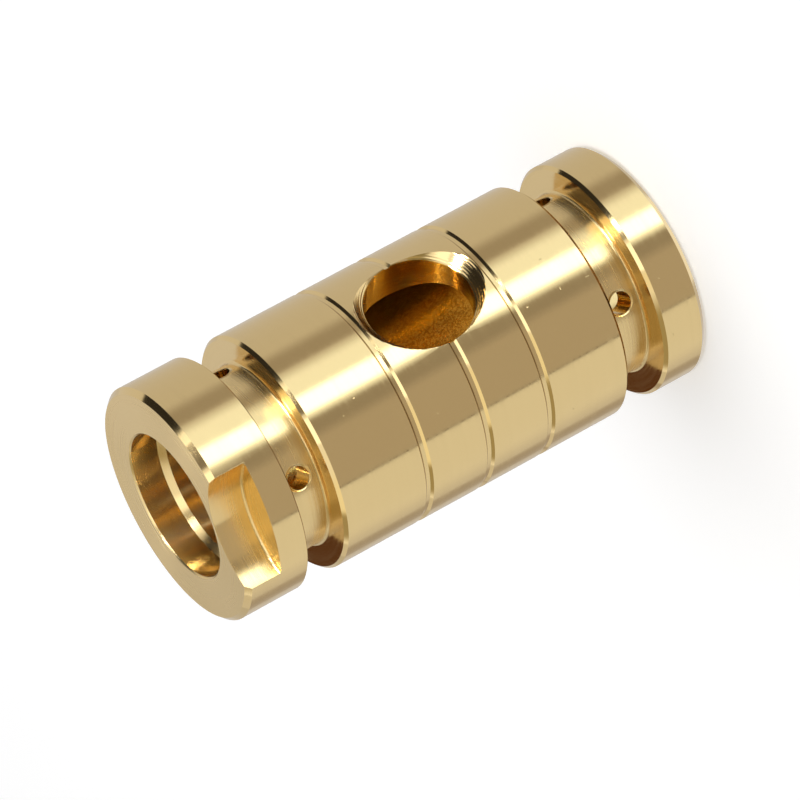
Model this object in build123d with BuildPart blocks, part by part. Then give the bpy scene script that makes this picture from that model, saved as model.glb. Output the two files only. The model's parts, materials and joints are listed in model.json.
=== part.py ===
from build123d import *
import os
from math import cos, radians, sin

# Ported sleeve: one piece of brass, turned from one bar and then cross drilled and milled.
# It stands on its rear end. The axis is Z, the front end is up and the cross port faces -Y.
# All sizes are in millimetres.

# Outside: one bar diameter, with two necks turned into it
outer_radius = 15.0
neck_radius = 11.6
rear_collar_length = 6.0
neck_length = 5.2
barrel_length = 40.2
front_collar_length = 8.4

# Edges of the outside
front_chamfer = 0.65
rear_chamfer = 0.7
land_chamfer = 0.4
edge_break = 0.12
neck_corner_radius = 0.4

# Three shallow grooves round the barrel, the middle one on the cross port
groove_pitch = 8.6
groove_width = 1.1
groove_depth = 0.3
groove_count = 3

# Inside: a bore from end to end, a wider mouth at the front and a chamber behind the cross port
bore_radius = 8.45
mouth_radius = 9.2
mouth_depth = 3.7
mouth_edge_break = 0.2
chamber_radius = 10.4
chamber_length = 36.0

# Cross port through one wall, with a 90 degree countersink
port_below_barrel_face = 20.4
port_radius = 6.5
countersink_radius = 8.1
countersink_angle = 90.0

# Small radial holes round each neck
neck_hole_radius = 1.4
neck_hole_count = 4
neck_hole_angle = 38.7

# Scallop in the front collar, left by an end mill with rounded corners
scallop_cutter_radius = 10.0
scallop_land = 0.7
scallop_depth = 4.6
scallop_corner_radius = 0.35
scallop_angle = -148.7

# Heights above the rear face
rear_neck_bottom = rear_collar_length
barrel_bottom = rear_neck_bottom + neck_length
barrel_top = barrel_bottom + barrel_length
front_collar_bottom = barrel_top + neck_length
overall_length = front_collar_bottom + front_collar_length
port_height = barrel_top - port_below_barrel_face
rear_neck_middle = rear_neck_bottom + neck_length / 2
front_neck_middle = barrel_top + neck_length / 2


def circles_at(edges, radius, height):
    """The full circles of one radius at one height."""
    near = 0.001
    rings = edges.filter_by(GeomType.CIRCLE)
    rings = rings.filter_by(lambda edge: abs(edge.radius - radius) < near)
    return rings.filter_by(lambda edge: abs(edge.arc_center.Z - height) < near)


with BuildPart() as turned_sleeve:
    # The bar, cut to length
    with BuildSketch(Plane.XY):
        Circle(outer_radius)
    extrude(amount=overall_length)

    # The two necks, each a ring taken off between the lands
    for neck_bottom in (rear_neck_bottom, barrel_top):
        with BuildSketch(Plane.XY.offset(neck_bottom)):
            Circle(outer_radius)
            Circle(neck_radius, mode=Mode.SUBTRACT)
        extrude(amount=neck_length, mode=Mode.SUBTRACT)

    # The tool's nose radius in the corner that each neck makes with its forward facing shoulder
    for corner_height in (rear_neck_bottom, barrel_top):
        fillet(circles_at(turned_sleeve.edges(), neck_radius, corner_height), neck_corner_radius)

    # Chamfers on the lands, wider on the two ends of the part
    for land_height in (rear_neck_bottom, barrel_bottom, barrel_top):
        chamfer(circles_at(turned_sleeve.edges(), outer_radius, land_height), land_chamfer)
    chamfer(circles_at(turned_sleeve.edges(), outer_radius, front_collar_bottom), edge_break)
    chamfer(circles_at(turned_sleeve.edges(), outer_radius, 0), rear_chamfer)
    chamfer(circles_at(turned_sleeve.edges(), outer_radius, overall_length), front_chamfer)

    # Grooves with 45 degree walls: the tool's flanks run on past the surface by one groove depth
    tip_half_width = groove_width / 2 - groove_depth
    flank_half_width = groove_width / 2 + groove_depth
    for number in range(groove_count):
        groove_height = port_height + (number - (groove_count - 1) / 2) * groove_pitch
        with BuildSketch(Plane.XZ):
            with BuildLine():
                Polyline(
                    (outer_radius - groove_depth, groove_height - tip_half_width),
                    (outer_radius + groove_depth, groove_height - flank_half_width),
                    (outer_radius + groove_depth, groove_height + flank_half_width),
                    (outer_radius - groove_depth, groove_height + tip_half_width),
                    close=True,
                )
            make_face()
        revolve(axis=Axis.Z, mode=Mode.SUBTRACT)

    # Everything turned out of the inside, drawn as one half section with a 45 degree shoulder in the mouth
    mouth_step = mouth_radius - bore_radius
    chamber_bottom = port_height - chamber_length / 2
    chamber_top = port_height + chamber_length / 2
    mouth_bottom = overall_length - mouth_depth
    with BuildSketch(Plane.XZ):
        with BuildLine():
            Polyline(
                (0, 0),
                (bore_radius + mouth_edge_break, 0),
                (bore_radius, mouth_edge_break),
                (bore_radius, chamber_bottom),
                (chamber_radius, chamber_bottom),
                (chamber_radius, chamber_top),
                (bore_radius, chamber_top),
                (bore_radius, mouth_bottom - mouth_step),
                (mouth_radius, mouth_bottom),
                (mouth_radius, overall_length - mouth_edge_break),
                (mouth_radius + mouth_edge_break, overall_length),
                (0, overall_length),
                close=True,
            )
        make_face()
    revolve(axis=Axis.Z, mode=Mode.SUBTRACT)

    # Cross port, drilled and countersunk from the -Y side into the chamber
    with Locations(Plane(origin=(0, -outer_radius, port_height), z_dir=(0, -1, 0))):
        CounterSinkHole(
            radius=port_radius,
            counter_sink_radius=countersink_radius,
            depth=outer_radius,
            counter_sink_angle=countersink_angle,
        )

    # Radial holes round the necks, drilled from outside into the bore
    for hole_height in (rear_neck_middle, front_neck_middle):
        for number in range(neck_hole_count):
            turn = radians(neck_hole_angle + number * 360 / neck_hole_count)
            outward = Vector(cos(turn), sin(turn), 0)
            start = outward * neck_radius + Vector(0, 0, hole_height)
            with Locations(Plane(origin=start, z_dir=outward)):
                Hole(radius=neck_hole_radius, depth=neck_radius - bore_radius / 2)

    # Scallop: the end mill stands parallel to the sleeve and leaves a thin land round the mouth
    cutter_distance = mouth_radius + scallop_land + scallop_cutter_radius
    cutter_direction = Vector(cos(radians(scallop_angle)), sin(radians(scallop_angle)), 0)
    cutter_sideways = Vector(0, 0, 1).cross(cutter_direction)
    cutter_tip = cutter_direction * cutter_distance + Vector(0, 0, overall_length - scallop_depth)
    with BuildSketch(Plane(origin=cutter_tip, x_dir=-cutter_direction, z_dir=cutter_sideways)):
        with BuildLine():
            Line((0, 0), (scallop_cutter_radius - scallop_corner_radius, 0))
            TangentArc(
                (scallop_cutter_radius - scallop_corner_radius, 0),
                (scallop_cutter_radius, scallop_corner_radius),
                tangent=(1, 0),
            )
            Polyline(
                (scallop_cutter_radius, scallop_corner_radius),
                (scallop_cutter_radius, scallop_depth),
                (0, scallop_depth),
                (0, 0),
            )
        make_face()
    revolve(axis=Axis(cutter_tip, (0, 0, 1)), mode=Mode.SUBTRACT)

turned_sleeve.part.label = "turned_sleeve"

os.makedirs("parts", exist_ok=True)
export_step(turned_sleeve.part, "parts/turned_sleeve.step")
print("overall length", round(overall_length, 3), "volume mm3", round(turned_sleeve.part.volume, 1))
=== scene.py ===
# %% [markdown]
# # A ported sleeve in turned brass
#
# The real object is one piece of brass, 65 mm long and 30 mm across.
# A lathe turned it, then a mill cut the round port in its side and the scallop in its front collar.
# The shape comes ready made from the construction model, so this lesson is about its finish and its light.
# Bright metal has hardly any look of its own: it shows the room round it.
# That is why half of the cells below build a small studio.

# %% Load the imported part
import json
from math import cos, pi, radians, sin

import bpy
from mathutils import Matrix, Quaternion, Vector


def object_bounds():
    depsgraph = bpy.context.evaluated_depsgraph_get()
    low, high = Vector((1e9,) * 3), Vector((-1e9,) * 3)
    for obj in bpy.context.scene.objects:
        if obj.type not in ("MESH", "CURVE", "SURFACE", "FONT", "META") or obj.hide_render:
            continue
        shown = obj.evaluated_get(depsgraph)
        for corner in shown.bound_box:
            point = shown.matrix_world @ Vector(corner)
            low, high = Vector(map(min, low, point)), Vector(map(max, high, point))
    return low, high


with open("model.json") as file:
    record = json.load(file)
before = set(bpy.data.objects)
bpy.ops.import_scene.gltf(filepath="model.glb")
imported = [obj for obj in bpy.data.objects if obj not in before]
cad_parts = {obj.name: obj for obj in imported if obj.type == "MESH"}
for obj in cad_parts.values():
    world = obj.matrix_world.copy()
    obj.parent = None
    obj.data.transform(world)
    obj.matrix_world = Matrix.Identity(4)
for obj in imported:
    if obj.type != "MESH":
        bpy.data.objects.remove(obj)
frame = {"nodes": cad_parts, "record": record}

construction_low, construction_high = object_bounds()
sleeve = frame["nodes"]["turned_sleeve"]
print("sleeve from", tuple(construction_low), "to", tuple(construction_high))

# %% [markdown]
# ## Sizes taken from the part
#
# The finish has to know where the lands, the necks, the port and the chamber are.
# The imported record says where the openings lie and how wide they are.
# The rest repeats the turner's drawing, in millimetres, because tool marks are thought of in millimetres.

# %% Sizes of the sleeve
MM = 0.001
mounts = {mount["name"]: mount for mount in frame["record"]["mounts"]}
sleeve_height = (construction_high.z - construction_low.z) / MM
land_radius = (construction_high.x - construction_low.x) / 2 / MM
bore_radius = mounts["sleeve_bore"]["dims"]["r_mm"]
mouth_radius = mounts["mouth"]["dims"]["r_mm"]
port_radius = mounts["cross_port"]["dims"]["r_mm"]
port_height = mounts["cross_port"]["pos_m"][2] / MM
chamber_radius = 10.4
chamber_length = 36.0
countersink_radius = 8.1
print("land radius", round(land_radius, 2), "and bore radius", bore_radius)
print("port height", round(port_height, 2))

# %% Sizes of the necks and the scallop
neck_radius = 11.6
neck_length = 5.2
neck_bottoms = {"rear": 6.0, "front": 51.4}
hole_radius = 1.4
hole_heights = [neck_bottom + neck_length / 2 for neck_bottom in neck_bottoms.values()]
hole_bearing = radians(38.7)
scallop_cutter_radius = 10.0
scallop_land = 0.7
scallop_bearing = radians(-148.7)
scallop_depth = 4.6
scallop_floor_height = sleeve_height - scallop_depth
print("neck holes at heights", hole_heights)
print("scallop floor at height", round(scallop_floor_height, 2))

# %% [markdown]
# ## The camera
#
# A long lens a good way off keeps the two collars almost the same size, as in the photograph.
# The sleeve stands on its rear end here, while in the photograph it lies across the picture.
# So the camera is rolled on its side, and the light below is built round the sleeve to suit.

# %% Camera
camera_place = Vector((-400.17, -644.89, 330.15)) * MM
camera_target = Vector((-1.357, 0.838, 34.277)) * MM
camera_roll = radians(-118.44)

camera_data = bpy.data.cameras.new("photo_camera")
camera_data.lens = 315
camera_data.sensor_width = 36
camera_data.clip_start = 0.01
camera_data.clip_end = 10
camera = bpy.data.objects.new("photo_camera", camera_data)
camera.location = camera_place
upright = (camera_target - camera_place).to_track_quat("-Z", "Y")
camera.rotation_mode = "QUATERNION"
camera.rotation_quaternion = upright @ Quaternion((0, 0, 1), camera_roll)
bpy.context.scene.collection.objects.link(camera)
bpy.context.scene.camera = camera
bpy.context.scene.view_settings.view_transform = "Standard"
print("camera is", round((camera_target - camera_place).length, 3), "m from the sleeve")

# %% [markdown]
# ## Small helpers for shader nodes
#
# A procedural finish is a drawing made of many little sums.
# These helpers add one node each and join it up, so that the cells below read like the sums themselves.
# A source may be a plain number or another node's output.


# %% Helpers that add any node
def new_material(name):
    """A material with an empty node tree."""
    material = bpy.data.materials.new(name)
    material.use_nodes = True
    material.node_tree.nodes.clear()
    return material


def connect(tree, source, socket):
    """Joins an output to a socket, or sets the socket to a plain value."""
    if isinstance(source, bpy.types.NodeSocket):
        tree.links.new(source, socket)
    else:
        socket.default_value = source


def add_node(tree, kind, inputs=None, **settings):
    """One new node with its settings and its inputs, named as Blender shows them."""
    node = tree.nodes.new(kind)
    for name, value in settings.items():
        setattr(node, name, value)
    for name, source in (inputs or {}).items():
        connect(tree, source, node.inputs[name])
    return node


# %% Helpers for sums
def calc(tree, operation, *sources):
    """One sum, such as calc(tree, "ADD", a, b)."""
    node = add_node(tree, "ShaderNodeMath", operation=operation)
    for source, socket in zip(sources, node.inputs):
        connect(tree, source, socket)
    return node.outputs["Value"]


def times(tree, *sources):
    """All the sources multiplied. Where they are masks, this is the area that they share."""
    product = sources[0]
    for source in sources[1:]:
        product = calc(tree, "MULTIPLY", product, source)
    return product


def fade(tree, value, start, end):
    """A soft step from 0 at start to 1 at end."""
    inputs = {"Value": value, "From Min": start, "From Max": end}
    node = add_node(tree, "ShaderNodeMapRange", inputs, interpolation_type="SMOOTHSTEP")
    return node.outputs["Result"]


def blend_values(tree, amount, first, second):
    """Goes from the first number to the second as the amount goes from 0 to 1."""
    inputs = {"Factor": amount, "A": first, "B": second}
    return add_node(tree, "ShaderNodeMix", inputs, data_type="FLOAT").outputs["Result"]


def vector_of(tree, x, y, z):
    """Three numbers joined into one vector."""
    return add_node(tree, "ShaderNodeCombineXYZ", {"X": x, "Y": y, "Z": z}).outputs["Vector"]


def length_of(tree, vector):
    """The length of a vector."""
    return add_node(tree, "ShaderNodeVectorMath", {0: vector}, operation="LENGTH").outputs["Value"]


# %% [markdown]
# ## The brass
#
# Turned brass is a metal with a pale yellow reflection, so the shader is fully metallic.
# The values that are the same everywhere are set on the shader's own sockets.
# Everything that follows only changes the colour, the roughness and the bump from place to place.

# %% Brass shader
brass = new_material("turned_brass")
tree = brass.node_tree
brass_output = add_node(tree, "ShaderNodeOutputMaterial")
brass_shader = add_node(tree, "ShaderNodeBsdfPrincipled", {"Metallic": 1.0})
connect(tree, brass_shader.outputs["BSDF"], brass_output.inputs["Surface"])
sleeve.data.materials.clear()
sleeve.data.materials.append(brass)
print("material slots:", len(sleeve.data.materials))

# %% [markdown]
# ## Where a point lies on the sleeve
#
# A lathe tool knows a point by two numbers: how far it is from the axis, and how high up the axis.
# The mill knows the port by the distance from the port's own axis, and the scallop by the cutter's.
# With these distances, every tool mark can be drawn as rings round the axis of the tool that made it.

# %% Distances in millimetres
object_place = add_node(tree, "ShaderNodeTexCoord").outputs["Object"]
to_millimetres = {0: object_place, "Scale": 1 / MM}
place = add_node(tree, "ShaderNodeVectorMath", to_millimetres, operation="SCALE").outputs["Vector"]
place_parts = add_node(tree, "ShaderNodeSeparateXYZ", {"Vector": place})
place_x = place_parts.outputs["X"]
place_y = place_parts.outputs["Y"]
place_z = place_parts.outputs["Z"]


def distance_from(first, first_centre, second, second_centre):
    """How far a point is from an axis, given its two offsets across that axis."""
    one = calc(tree, "SUBTRACT", first, first_centre)
    other = calc(tree, "SUBTRACT", second, second_centre)
    return length_of(tree, vector_of(tree, one, other, 0.0))


axis_distance = distance_from(place_x, 0.0, place_y, 0.0)
port_distance = distance_from(place_x, 0.0, place_z, port_height)
cutter_offset = mouth_radius + scallop_land + scallop_cutter_radius
cutter_x = cutter_offset * cos(scallop_bearing)
cutter_y = cutter_offset * sin(scallop_bearing)
cutter_distance = distance_from(place_x, cutter_x, place_y, cutter_y)
print("scallop cutter axis at", round(cutter_x, 2), round(cutter_y, 2))

# %% [markdown]
# ## Which way a point faces
#
# One number tells the faces of turned work apart: how far they look along the axis.
# A turned wall looks straight out and has 0, a 45 degree bevel has 0.7, and a shoulder or an end face has 1.
# The limits below lie between these, so a small error in the mesh does no harm.

# %% Facing along the axis
normal = add_node(tree, "ShaderNodeNewGeometry").outputs["True Normal"]
facing_up = add_node(tree, "ShaderNodeSeparateXYZ", {"Vector": normal}).outputs["Z"]
facing_end = calc(tree, "ABSOLUTE", facing_up)
bevel_from = 0.5
bevel_to = 0.8
end_from = 0.9
shoulder_from = 0.98
print("a bevel faces the end by", bevel_from, "to", bevel_to)

# %% [markdown]
# ## Masks for the machined areas
#
# Each mask is 1 on one area and 0 elsewhere.
# The port is everything inside its countersink cone, on the port's side.
# The scallop is everything inside the end mill's cylinder, above the scallop floor.
# The chamber is the wide part of the bore behind the port.
# The shoulders are the faces that look straight up or down, and the bevels are the lands' slanting edges.
# The skin is a small allowance, so that a point on the cut surface itself counts as inside.


# %% Masks of the port and the scallop
def above(value, limit):
    """1 where the value is over the limit."""
    return calc(tree, "GREATER_THAN", value, limit)


def below(value, limit):
    """1 where the value is under the limit."""
    return calc(tree, "LESS_THAN", value, limit)


skin = 0.06
cone_radius = calc(tree, "SUBTRACT", countersink_radius - land_radius, place_y)
port_edge = calc(tree, "MAXIMUM", cone_radius, port_radius)
inside_port = below(port_distance, calc(tree, "ADD", port_edge, skin))
port_side = below(place_y, -chamber_radius / 2)
outside_chamber = above(axis_distance, chamber_radius + skin)
port_area = times(tree, inside_port, port_side, outside_chamber)
cone_area = times(tree, port_area, above(port_distance, port_radius + skin))

inside_cutter = below(cutter_distance, scallop_cutter_radius + skin)
scallop_area = times(tree, inside_cutter, above(place_z, scallop_floor_height - skin))
scallop_floor = times(tree, scallop_area, above(facing_end, end_from))
not_milled = calc(tree, "SUBTRACT", 1.0, calc(tree, "MAXIMUM", port_area, scallop_area))
print("the port cone narrows from radius", countersink_radius, "to", port_radius)

# %% Masks of the inside
from_port = calc(tree, "ABSOLUTE", calc(tree, "SUBTRACT", place_z, port_height))
end_allowance = 0.1
near_port = below(from_port, chamber_length / 2 + end_allowance)
beyond_bore = above(axis_distance, mouth_radius + 3 * skin)
chamber_area = times(tree, beyond_bore, below(axis_distance, chamber_radius + skin), near_port)
bore_area = below(axis_distance, mouth_radius + skin)
print("the chamber's wall lies", chamber_radius, "mm from the axis")

# %% Masks of the lands, the necks and the edges
side_area = below(facing_end, bevel_to)
beyond_land_foot = above(axis_distance, (land_radius + neck_radius) / 2)
land_area = times(tree, beyond_land_foot, side_area, not_milled)
neck_band = 1.0
near_neck = below(axis_distance, neck_radius + neck_band)
neck_wall = times(tree, above(axis_distance, neck_radius - skin), near_neck, side_area, not_milled)
scallop_clearance = 1.0
below_scallop = below(place_z, scallop_floor_height - scallop_clearance)
shoulder_area = times(tree, below_scallop, above(facing_end, shoulder_from))
bevel_area = times(tree, land_area, above(facing_end, bevel_from))
rear_edge = 2.0
rear_bevel = times(tree, bevel_area, below(facing_up, -bevel_from), above(place_z, rear_edge))
print("nodes in the brass so far:", len(tree.nodes))

# %% [markdown]
# ## Tool marks
#
# A turning tool leaves a very fine thread of marks: nothing changes round the axis and much changes along it.
# Noise stretched in that way looks like real tool marks: some lines are deeper, some are hardly there.
# The noise's third and fourth numbers change slowly with the place itself, so the lines are not perfect rings.

# %% Tool mark pattern
mark_first = blend_values(tree, port_area, axis_distance, port_distance)
mark_first = blend_values(tree, scallop_area, mark_first, cutter_distance)
mark_second = blend_values(tree, port_area, place_z, place_y)


def ring_noise(lines_per_mm, drift_per_mm):
    """Noise that runs in rings round the axis of whichever tool cut the area."""
    along = calc(tree, "MULTIPLY", mark_first, lines_per_mm)
    up = calc(tree, "MULTIPLY", mark_second, lines_per_mm)
    drift_x = calc(tree, "MULTIPLY", place_x, drift_per_mm)
    drift_y = calc(tree, "MULTIPLY", place_y, drift_per_mm)
    inputs = {"Vector": vector_of(tree, along, up, drift_x), "W": drift_y, "Scale": 1.0, "Detail": 1.0}
    return add_node(tree, "ShaderNodeTexNoise", inputs, noise_dimensions="4D").outputs["Fac"]


fine_lines_per_mm = 5.0
broad_lines_per_mm = 1.3
broad_share = 0.4
fine_lines = ring_noise(fine_lines_per_mm, 0.1)
broad_lines = ring_noise(broad_lines_per_mm, 0.06)
tool_marks = blend_values(tree, broad_share, fine_lines, broad_lines)
print("tool marks:", fine_lines_per_mm, "fine and", broad_lines_per_mm, "broad lines in a millimetre")

# %% Rings in the countersink
ring_pitch = 0.27
ring_wave = calc(tree, "SINE", calc(tree, "MULTIPLY", port_distance, 2 * pi / ring_pitch))
ring_strength = fade(tree, broad_lines, 0.35, 0.65)
cone_rings = times(tree, cone_area, ring_wave, ring_strength)
print("rings in the countersink are", ring_pitch, "mm apart")

# %% [markdown]
# ## Grain and nicks
#
# The chamber was bored with a coarser tool, so its wall is grained.
# The grain is plain noise in all three directions, because a torn surface has no rings.
# The lands carry a few small nicks from handling, most of them where the photograph shows them.
# Each nick is given by its height, its bearing and its half length along and round the sleeve.

# %% Grain and nicks
grain_inputs = {"Vector": place, "Scale": 3.5, "Detail": 2.0}
grain = add_node(tree, "ShaderNodeTexNoise", grain_inputs).outputs["Fac"]
nick_places = [
    (12.4, -119.0, 0.24, 0.07),
    (16.1, -117.9, 0.07, 0.22),
    (20.8, -118.3, 0.15, 0.16),
    (45.0, -117.3, 0.08, 0.12),
    (47.1, -122.1, 0.11, 0.08),
    (4.7, -163.7, 0.06, 0.24),
    (4.4, -134.9, 0.09, 0.09),
    (16.2, -102.2, 0.24, 0.08),
    (19.3, -175.3, 0.10, 0.12),
    (36.5, -141.0, 0.07, 0.10),
    (26.0, 40.0, 0.20, 0.07),
    (44.0, 95.0, 0.08, 0.20),
]


def offset_along(x_share, y_share):
    """How far a point lies along a level direction, given the direction's two parts."""
    return calc(tree, "ADD", times(tree, place_x, x_share), times(tree, place_y, y_share))


def nick_at(height, bearing, half_along, half_round):
    """A round dent's outline, 1 in its middle and 0 from its edge on."""
    out_x, out_y = cos(radians(bearing)), sin(radians(bearing))
    along = calc(tree, "DIVIDE", calc(tree, "SUBTRACT", place_z, height), half_along)
    sideways = offset_along(-out_y / half_round, out_x / half_round)
    distance = length_of(tree, vector_of(tree, along, sideways, 0.0))
    outer_side = above(offset_along(out_x, out_y), neck_radius)
    return times(tree, outer_side, fade(tree, distance, 1.0, 0.3))


nicks = 0.0
for nick_place in nick_places:
    nicks = calc(tree, "MAXIMUM", nicks, nick_at(*nick_place))
print(len(nick_places), "nicks")

# %% [markdown]
# ## The rims of the small holes
#
# The drill left a small burr at each neck hole, and brushing the burr off rounded the rim.
# The holes stand a quarter turn apart, so the bearing is folded into one quarter turn first.
# The two rows are folded into one too, at the height half way between them.

# %% Distance from the nearest neck hole
eighth_turn = pi / 4
bearing_here = calc(tree, "ARCTAN2", place_y, place_x)
from_hole = calc(tree, "SUBTRACT", bearing_here, hole_bearing - eighth_turn)
from_hole = calc(tree, "SUBTRACT", calc(tree, "WRAP", from_hole, 2 * eighth_turn, 0.0), eighth_turn)
hole_side = calc(tree, "MULTIPLY", from_hole, neck_radius)
hole_up = calc(tree, "ABSOLUTE", calc(tree, "SUBTRACT", place_z, sum(hole_heights) / 2))
hole_up = calc(tree, "SUBTRACT", hole_up, (hole_heights[1] - hole_heights[0]) / 2)
hole_distance = length_of(tree, vector_of(tree, hole_side, hole_up, 0.0))

rim_radius = hole_radius + 0.3
hole_rim = times(tree, neck_wall, fade(tree, hole_distance, rim_radius, hole_radius))
under_neck = below(axis_distance, neck_radius - skin)
over_bore = above(axis_distance, bore_radius + skin)
hole_wall = times(tree, under_neck, over_bore, below(hole_distance, rim_radius))
print("rounded rims are", rim_radius, "mm from the middle of each hole")

# %% [markdown]
# ## The direction of the tool marks
#
# Turned metal is rough across its marks and smooth along them, so a highlight is drawn out across the marks.
# Blender calls this anisotropy, and needs a tangent: the direction in which the tool travelled.
# That is the direction round the tool's own axis, which is a quarter turn from the line to that axis.

# %% Tangent
turned_direction = vector_of(tree, calc(tree, "MULTIPLY", place_y, -1.0), place_x, 0.0)
port_up = calc(tree, "SUBTRACT", place_z, port_height)
port_direction = vector_of(tree, port_up, 0.0, calc(tree, "MULTIPLY", place_x, -1.0))
milled_x = calc(tree, "SUBTRACT", cutter_y, place_y)
milled_y = calc(tree, "SUBTRACT", place_x, cutter_x)
milled_direction = vector_of(tree, milled_x, milled_y, 0.0)


def choose_direction(area, elsewhere, inside):
    """The second vector inside the area, the first one elsewhere."""
    node = add_node(tree, "ShaderNodeMix", {"Factor": area}, data_type="VECTOR")
    connect(tree, elsewhere, node.inputs[4])
    connect(tree, inside, node.inputs[5])
    return node.outputs[1]


tool_direction = choose_direction(port_area, turned_direction, port_direction)
tool_direction = choose_direction(scallop_area, tool_direction, milled_direction)
tangent = add_node(tree, "ShaderNodeVectorMath", {0: tool_direction}, operation="NORMALIZE")
connect(tree, tangent.outputs["Vector"], brass_shader.inputs["Tangent"])
brass_shader.inputs["Anisotropic"].default_value = 0.85
brass_shader.inputs["Anisotropic Rotation"].default_value = 0.25
print("anisotropy", round(brass_shader.inputs["Anisotropic"].default_value, 2))

# %% [markdown]
# ## Roughness
#
# The lands are nearly mirror bright and the chamfers brighter still: they were cut last with a sharp tool.
# The bores and the chamber are duller, and the necks and the front face are the dullest.
# The tool marks are added to each, so that every reflection breaks up into fine lines.
# The bores and the chamfers get less of that, because lines would tear their narrow reflections apart.

# %% Roughness
roughness = 0.24
for area, area_roughness in (
    (land_area, 0.16),
    (shoulder_area, 0.12),
    (bevel_area, 0.09),
    (port_area, 0.14),
    (bore_area, 0.21),
    (chamber_area, 0.21),
    (hole_wall, 0.14),
):
    roughness = blend_values(tree, area, roughness, area_roughness)
even_area = calc(tree, "MAXIMUM", calc(tree, "MAXIMUM", bore_area, chamber_area), bevel_area)
unevenness = blend_values(tree, even_area, 0.35, 0.1)
centred_marks = calc(tree, "SUBTRACT", tool_marks, 0.5)
roughness = calc(tree, "ADD", roughness, times(tree, centred_marks, unevenness))
connect(tree, roughness, brass_shader.inputs["Roughness"])
print("nodes in the brass so far:", len(tree.nodes))

# %% [markdown]
# ## Colour
#
# All of it is one brass, but light comes out of the chamber only after several mirrorings.
# Each of them takes some blue away, so the inside looks like dark honey.
# The renderer follows only a few mirrorings, so part of that honey colour is painted into the inner walls: a
# painted reflection, and on the walls of the port and the holes a painted shade as well.
# In the chamber it changes from grain to grain, which makes the speckle that the photograph shows.
# The bevels that face the rear are darker: a painted shade that shows them as thin dark lines.
# The scallop floor is a richer gold than the brass: a painted reflection of golden light from the scallop's
# wall.


# %% Colour
def blend_colours(share, first, second):
    """The first colour where share is 0, the second where it is 1."""
    node = add_node(tree, "ShaderNodeMix", {"Factor": share}, data_type="RGBA")
    connect(tree, first, node.inputs[6])
    connect(tree, second, node.inputs[7])
    return node.outputs[2]


brass_colour = (0.86, 0.65, 0.315, 1)
# Pit and grain colours: real grain, with a painted reflection of light mirrored many times in the chamber.
pit_and_reflection_colour = (0.74, 0.46, 0.10, 1)
grain_and_reflection_colour = (0.97, 0.70, 0.22, 1)
# Painted shade and painted reflection on the walls of the port and the neck holes.
inner_wall_shade_colour = (0.64, 0.43, 0.14, 1)
# Painted shade on the bevels that face the rear.
rear_bevel_shade_colour = (0.36, 0.28, 0.18, 1)
# Painted reflection: the scallop floor is a richer gold than the brass.
scallop_floor_reflection_colour = (0.90, 0.64, 0.22, 1)

port_wall = calc(tree, "SUBTRACT", port_area, cone_area)
inner_wall = calc(tree, "MAXIMUM", port_wall, hole_wall)
chamber_colour = blend_colours(fade(tree, grain, 0.42, 0.58), pit_and_reflection_colour, grain_and_reflection_colour)
colour = brass_colour
for area, area_colour in (
    (chamber_area, chamber_colour),
    (inner_wall, inner_wall_shade_colour),
    (rear_bevel, rear_bevel_shade_colour),
    (scallop_floor, scallop_floor_reflection_colour),
):
    colour = blend_colours(area, colour, area_colour)
connect(tree, colour, brass_shader.inputs["Base Color"])
print("brass colour", brass_colour[:3])

# %% [markdown]
# ## Relief
#
# A bump node tilts the surface for light only, so the part keeps its exact size.
# The tool marks are deepest on the walls of the necks and nearly gone in the bores.
# Grain, rings, nicks and the rounded rims of the neck holes are added to the same height.
# The nicks and the rims are dents, so their shares are negative.
# All heights are shares of the bump's own distance, which is a few thousandths of a millimetre.

# %% Bump
mark_depth = 1.0
for area, area_depth in (
    (land_area, 0.35),
    (neck_wall, 3.0),
    (bore_area, 0.3),
    (chamber_area, 0.2),
    (hole_wall, 0.5),
):
    mark_depth = blend_values(tree, area, mark_depth, area_depth)
height = times(tree, tool_marks, mark_depth)
chamber_grain = times(tree, chamber_area, grain)
for relief, share in ((chamber_grain, 1.6), (cone_rings, 2.0), (nicks, -6.0), (hole_rim, -34.0)):
    height = calc(tree, "ADD", height, times(tree, relief, share))
bump_distance = 0.006 * MM
bump = add_node(tree, "ShaderNodeBump", {"Height": height, "Strength": 1.0, "Distance": bump_distance})
connect(tree, bump.outputs["Normal"], brass_shader.inputs["Normal"])
print("the brass is done, with", len(tree.nodes), "nodes")

# %% [markdown]
# ## The floor and the white room
#
# The photograph's ground is pure white.
# The floor is a pale diffuse sheet that also glows a little, for the eye only.
# So it reads as white, and the sleeve's own soft shadow still darkens it.
# The metal mirrors the white room and the studio's cards, but not the floor.


# %% White for the eye only
def seen_by_eye(tree):
    """1 for rays that show a picture: camera, mirror and glass rays. 0 for rays that carry soft light."""
    path = add_node(tree, "ShaderNodeLightPath")
    seen = calc(tree, "MAXIMUM", path.outputs["Is Camera Ray"], path.outputs["Is Glossy Ray"])
    return calc(tree, "MAXIMUM", seen, path.outputs["Is Transmission Ray"])


white = (1, 1, 1, 1)
floor_grey = (0.8, 0.8, 0.8, 1)
floor_glow = 0.35
floor_paper = new_material("floor_paper")
floor_tree = floor_paper.node_tree
paper = add_node(floor_tree, "ShaderNodeBsdfDiffuse", {"Color": floor_grey})
glow_strength = times(floor_tree, seen_by_eye(floor_tree), floor_glow)
glow = add_node(floor_tree, "ShaderNodeEmission", {"Color": white, "Strength": glow_strength})
both_shaders = {0: paper.outputs["BSDF"], 1: glow.outputs["Emission"]}
paper_and_glow = add_node(floor_tree, "ShaderNodeAddShader", both_shaders)
add_node(floor_tree, "ShaderNodeOutputMaterial", {"Surface": paper_and_glow.outputs["Shader"]})
print("floor glow", floor_glow)

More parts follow.
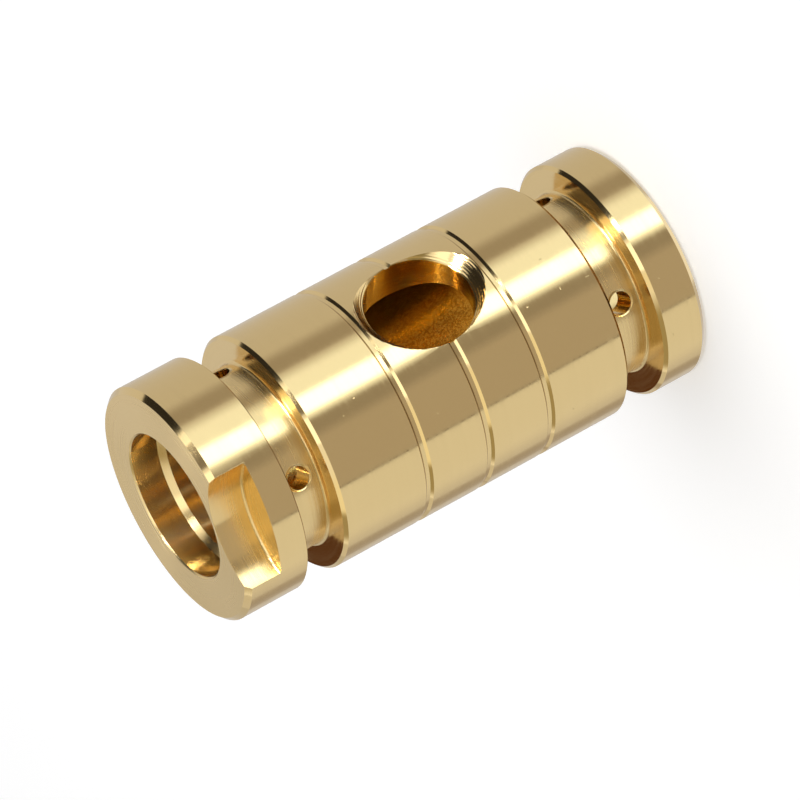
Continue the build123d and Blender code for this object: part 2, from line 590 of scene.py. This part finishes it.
# %% Floor
floor_half = 3.0
floor_corners = [(x * floor_half, y * floor_half, 0) for x, y in ((-1, -1), (1, -1), (1, 1), (-1, 1))]
floor_mesh = bpy.data.meshes.new("studio_floor")
floor_mesh.from_pydata(floor_corners, [], [(0, 1, 2, 3)])
floor_mesh.materials.append(floor_paper)
floor = bpy.data.objects.new("studio_floor", floor_mesh)
floor.visible_glossy = False
bpy.context.scene.collection.objects.link(floor)
print("floor", 2 * floor_half, "m across")

# %% White room
room = bpy.data.worlds.new("white_room")
room.use_nodes = True
room_tree = room.node_tree
room_tree.nodes.clear()
room_soft_light = 0.45
room_strength = blend_values(room_tree, seen_by_eye(room_tree), room_soft_light, 1.0)
room_light = add_node(room_tree, "ShaderNodeBackground", {"Color": white, "Strength": room_strength})
add_node(room_tree, "ShaderNodeOutputWorld", {"Surface": room_light.outputs["Background"]})
bpy.context.scene.world = room
print("the room gives soft light of", room_soft_light, "and looks white")

# %% [markdown]
# ## The soft box overhead
#
# One large square lamp above gives the soft shadow on the floor.
# The metal doesn't mirror it, or the front face would turn into a white disc when it is seen from above.

# %% Soft box overhead
softbox_data = bpy.data.lights.new("overhead_softbox", "AREA")
softbox_data.shape = "SQUARE"
softbox_data.size = 0.7
softbox_data.energy = 4.0
softbox = bpy.data.objects.new("overhead_softbox", softbox_data)
softbox.location = (0.1, -0.1, 0.85)
lamp_target = Vector((0, 0, 0.03))
softbox.rotation_euler = (softbox.location - lamp_target).to_track_quat("Z", "Y").to_euler()
softbox.visible_glossy = False
bpy.context.scene.collection.objects.link(softbox)
print("soft box", round(softbox_data.size, 2), "m wide,", round(softbox.location.z, 2), "m up")

# %% [markdown]
# ## Studio cards
#
# A photographer stands cards round bright metal: a white one gives a bright stripe, a dark one a dark stripe.
# The stripe on a cylinder lies half way between the camera and the card, because a mirror halves the angle.
# So each card is given by the place on the barrel where its stripe should fall, in degrees from the middle
# of the barrel as the camera sees it, and the law of reflection says where the card has to stand.


# %% The light of a card
def card_light(name, brightness, tint, soft_ends, soft_rims, one_sided=False):
    """A glowing material that fades out over a share of the card at its ends and its rims."""
    material = new_material(name)
    card_tree = material.node_tree
    face_place = add_node(card_tree, "ShaderNodeUVMap", uv_map="card_face").outputs["UV"]
    parts = add_node(card_tree, "ShaderNodeSeparateXYZ", {"Vector": face_place})
    opacity = 1.0
    for part, (near, far) in ((parts.outputs["X"], soft_ends), (parts.outputs["Y"], soft_rims)):
        if near:
            opacity = times(card_tree, opacity, fade(card_tree, part, 0.0, near))
        if far:
            opacity = times(card_tree, opacity, fade(card_tree, part, 1.0, 1 - far))
    if one_sided:
        back = add_node(card_tree, "ShaderNodeNewGeometry").outputs["Backfacing"]
        opacity = times(card_tree, opacity, calc(card_tree, "SUBTRACT", 1.0, back))
    lit = add_node(card_tree, "ShaderNodeEmission", {"Color": (*tint, 1), "Strength": brightness})
    clear = add_node(card_tree, "ShaderNodeBsdfTransparent")
    shaders = {"Fac": opacity, 1: clear.outputs["BSDF"], 2: lit.outputs["Emission"]}
    card = add_node(card_tree, "ShaderNodeMixShader", shaders)
    add_node(card_tree, "ShaderNodeOutputMaterial", {"Surface": card.outputs["Shader"]})
    return material


# %% The sheet of a card
cards_up = []


def hang_card(name, corners, columns, rows, light):
    """Puts up a card made of a grid of corners, so that only the metal's reflections see it."""
    faces = []
    for column in range(columns):
        for row in range(rows):
            corner = column * (rows + 1) + row
            faces.append((corner, corner + rows + 1, corner + rows + 2, corner + 1))
    sheet = bpy.data.meshes.new(name)
    sheet.from_pydata(corners, [], faces)
    layer = sheet.uv_layers.new(name="card_face")
    for loop in sheet.loops:
        column, row = divmod(loop.vertex_index, rows + 1)
        layer.data[loop.index].uv = (column / columns, row / rows)
    sheet.materials.append(light)
    card = bpy.data.objects.new(name, sheet)
    card.visible_camera = False
    card.visible_diffuse = False
    card.visible_shadow = False
    card.visible_transmission = False
    bpy.context.scene.collection.objects.link(card)
    cards_up.append(name)


# %% A card on a dome
dome_centre = 0.03
dome_columns = 24
dome_rows = 12


def studio_card(name, bearings, heights, brightness, tint, distance, soft_ends, soft_rims):
    """A card on a dome round the sleeve, between two bearings and two heights in degrees."""
    corners = []
    for column in range(dome_columns + 1):
        bearing = radians(bearings[0] + (bearings[1] - bearings[0]) * column / dome_columns)
        for row in range(dome_rows + 1):
            height = radians(heights[0] + (heights[1] - heights[0]) * row / dome_rows)
            out = distance * cos(height)
            corners.append((out * cos(bearing), out * sin(bearing), dome_centre + distance * sin(height)))
    light = card_light(name, brightness, tint, soft_ends, soft_rims)
    hang_card(name, corners, dome_columns, dome_rows, light)


# %% A card for a stripe on the barrel
camera_bearing = -121.7


def facing_bearing(place_on_barrel):
    """The compass bearing that the barrel mirrors at this place, in degrees."""
    return camera_bearing - 2 * place_on_barrel


def barrel_card(
    name, places, brightness, tint, distance, soft_ends=(0, 0), heights=(-60, 8), soft_rims=(0, 0)
):
    """A card given by the two places on the barrel between which its stripe should fall."""
    bearings = (facing_bearing(places[0]), facing_bearing(places[1]))
    studio_card(name, bearings, heights, brightness, tint, distance, soft_ends, soft_rims)


print("the middle of the barrel mirrors the bearing", facing_bearing(0))

# %% [markdown]
# ## Cards for the barrel
#
# The first card is a plain wall all round. The others hang in front of it, at distances that keep them apart.
# The window and its glow give the bright stripe, and the rest are a darker wall and the table.
# After the name come the two places of the stripe, the brightness, the tint and the distance in metres.
# The last numbers say how much of the card's ends and rims fades out.

# %% Cards for the barrel
neutral = (1.0, 1.0, 1.0)
warm = (1.0, 0.91, 0.83)
cool = (0.88, 0.95, 1.0)
wall_tint = (1.0, 0.97, 0.95)
barrel_card("backdrop_wall", (-180, 0), 0.61, wall_tint, 0.50)
barrel_card("dark_gap", (-44, -29), 0.38, warm, 0.46, (0.5, 0.2))
barrel_card("window_glow", (-31, -3.8), 1.25, cool, 0.44, (0.25, 0.14), (-60, 10), (0, 0.1))
barrel_card("window", (-18, -6.6), 3.2, cool, 0.42, (0.3, 0.25), (-60, 10), (0, 0.1))
studio_card("window_top", (-92, -63), (6, 56), 1.25, cool, 0.43, (0.1, 0.1), (0.05, 0.1))
barrel_card("camera_side_wall", (-6, 28.4), 0.47, warm, 0.47, (0.02, 0))
barrel_card("window_shadow", (-6, 5), 0.34, warm, 0.46, (0.1, 0.5))
barrel_card("table_side", (28.4, 68), 0.79, neutral, 0.47, (0, 0.4))
barrel_card("table_edge", (27.7, 28.5), 0.2, warm, 0.46)
barrel_card("table_end", (64, 76), 0.42, warm, 0.48, (0.2, 0.3))
print(len(cards_up), "cards are up")

# %% [markdown]
# ## Cards overhead
#
# The front face, the chamfers and the countersink look upward, past the cards for the barrel.
# In the photograph the chamfers are nearly black on one side and white on the other.
# So the dome above the sleeve gets a black flag on one side and a second soft box on the other.
# A shoulder light whitens the chamfers next to the necks.
# The port light is small and strong: it shines through the port and draws the golden band in the chamber.
# The scallop reflector stands close by, because the scallop looks toward its own side.
# Here two bearings and two heights follow the name, and then the brightness and the rest, as before.

# %% Cards for the ends and the chamfers
brown = (1.0, 0.86, 0.52)
cream = (1.0, 0.95, 0.78)
ceiling_tint = (1.0, 0.97, 0.93)
studio_card("high_backdrop", (-10, 110), (8, 52), 0.68, ceiling_tint, 0.49, (0, 0), (0, 0.2))
studio_card("black_flag", (-64, 4), (8, 57.5), 0.03, warm, 0.45, (0.04, 0.04), (0, 0.02))
studio_card("small_softbox", (-60, -20), (56, 66), 1.4, neutral, 0.46, (0.1, 0.1), (0, 0.1))
studio_card("dim_ceiling_gap", (-94, -56), (60, 86), 0.24, warm, 0.44, (0.06, 0.06), (0.03, 0.1))
studio_card("second_softbox", (-145, -98), (40, 84), 1.6, neutral, 0.46, (0.1, 0.05), (0.1, 0.1))
studio_card("camera_side_dark", (-172, -84), (8, 38), 0.27, brown, 0.48, (0, 0.1), (0, 0.2))
studio_card("camera_side_glint", (-154, -136), (8, 38), 0.5, brown, 0.47, (0.2, 0.2), (0, 0.2))
studio_card("table_side_dark", (110, 192), (8, 60), 0.40, brown, 0.49, (0.1, 0.1), (0, 0.2))
studio_card("shoulder_light", (-82, -60), (10, 27), 1.9, neutral, 0.41, (0.15, 0.1), (0.2, 0.15))
studio_card("port_light", (-87, -67), (36, 58), 26.0, neutral, 0.405, (0.15, 0.15), (0.15, 0.1))
studio_card("scallop_reflector", (150, 222), (39.5, 62), 1.0, cream, 0.065, (0.1, 0.1), (0.1, 0.2))
studio_card("backdrop_shade", (50, 100), (8, 60), 0.56, ceiling_tint, 0.16, (0.35, 0), (0.05, 0.3))
print(len(cards_up), "cards are up")

# %% [markdown]
# ## Shade behind the necks
#
# In the photograph the sleeve lies on a table, and the narrow dark space under it shows in the two necks.
# Here the sleeve stands upright, so a small brown card behind each neck stands in for that space.
# The shoulder of the neck mirrors the camera's look upward, so each card lies flat, a little above its neck.
# It is clear from above, or the barrel would show it as a stain.

# %% Shade cards
shade_brown = (1.0, 0.41, 0.155)
shade_brightness = 0.099
shade_lift = 9.0
shade_reaches = (12.5, 37.0)
shade_offsets = (8.6, 17.0)
away_bearing = radians(camera_bearing + 180)
ahead = Vector((cos(away_bearing), sin(away_bearing), 0))
aside = Vector((-ahead.y, ahead.x, 0))
for neck_name, neck_bottom in neck_bottoms.items():
    corners = []
    for offset in shade_offsets:
        for reach in shade_reaches:
            corner = ahead * reach + aside * offset
            corner.z = neck_bottom + shade_lift
            corners.append(corner * MM)
    name = neck_name + "_neck_shade"
    light = card_light(name, shade_brightness, shade_brown, (0.2, 0.1), (0, 0.1), one_sided=True)
    hang_card(name, corners, 1, 1, light)
print("shade cards lie", shade_lift, "mm above the foot of each neck")
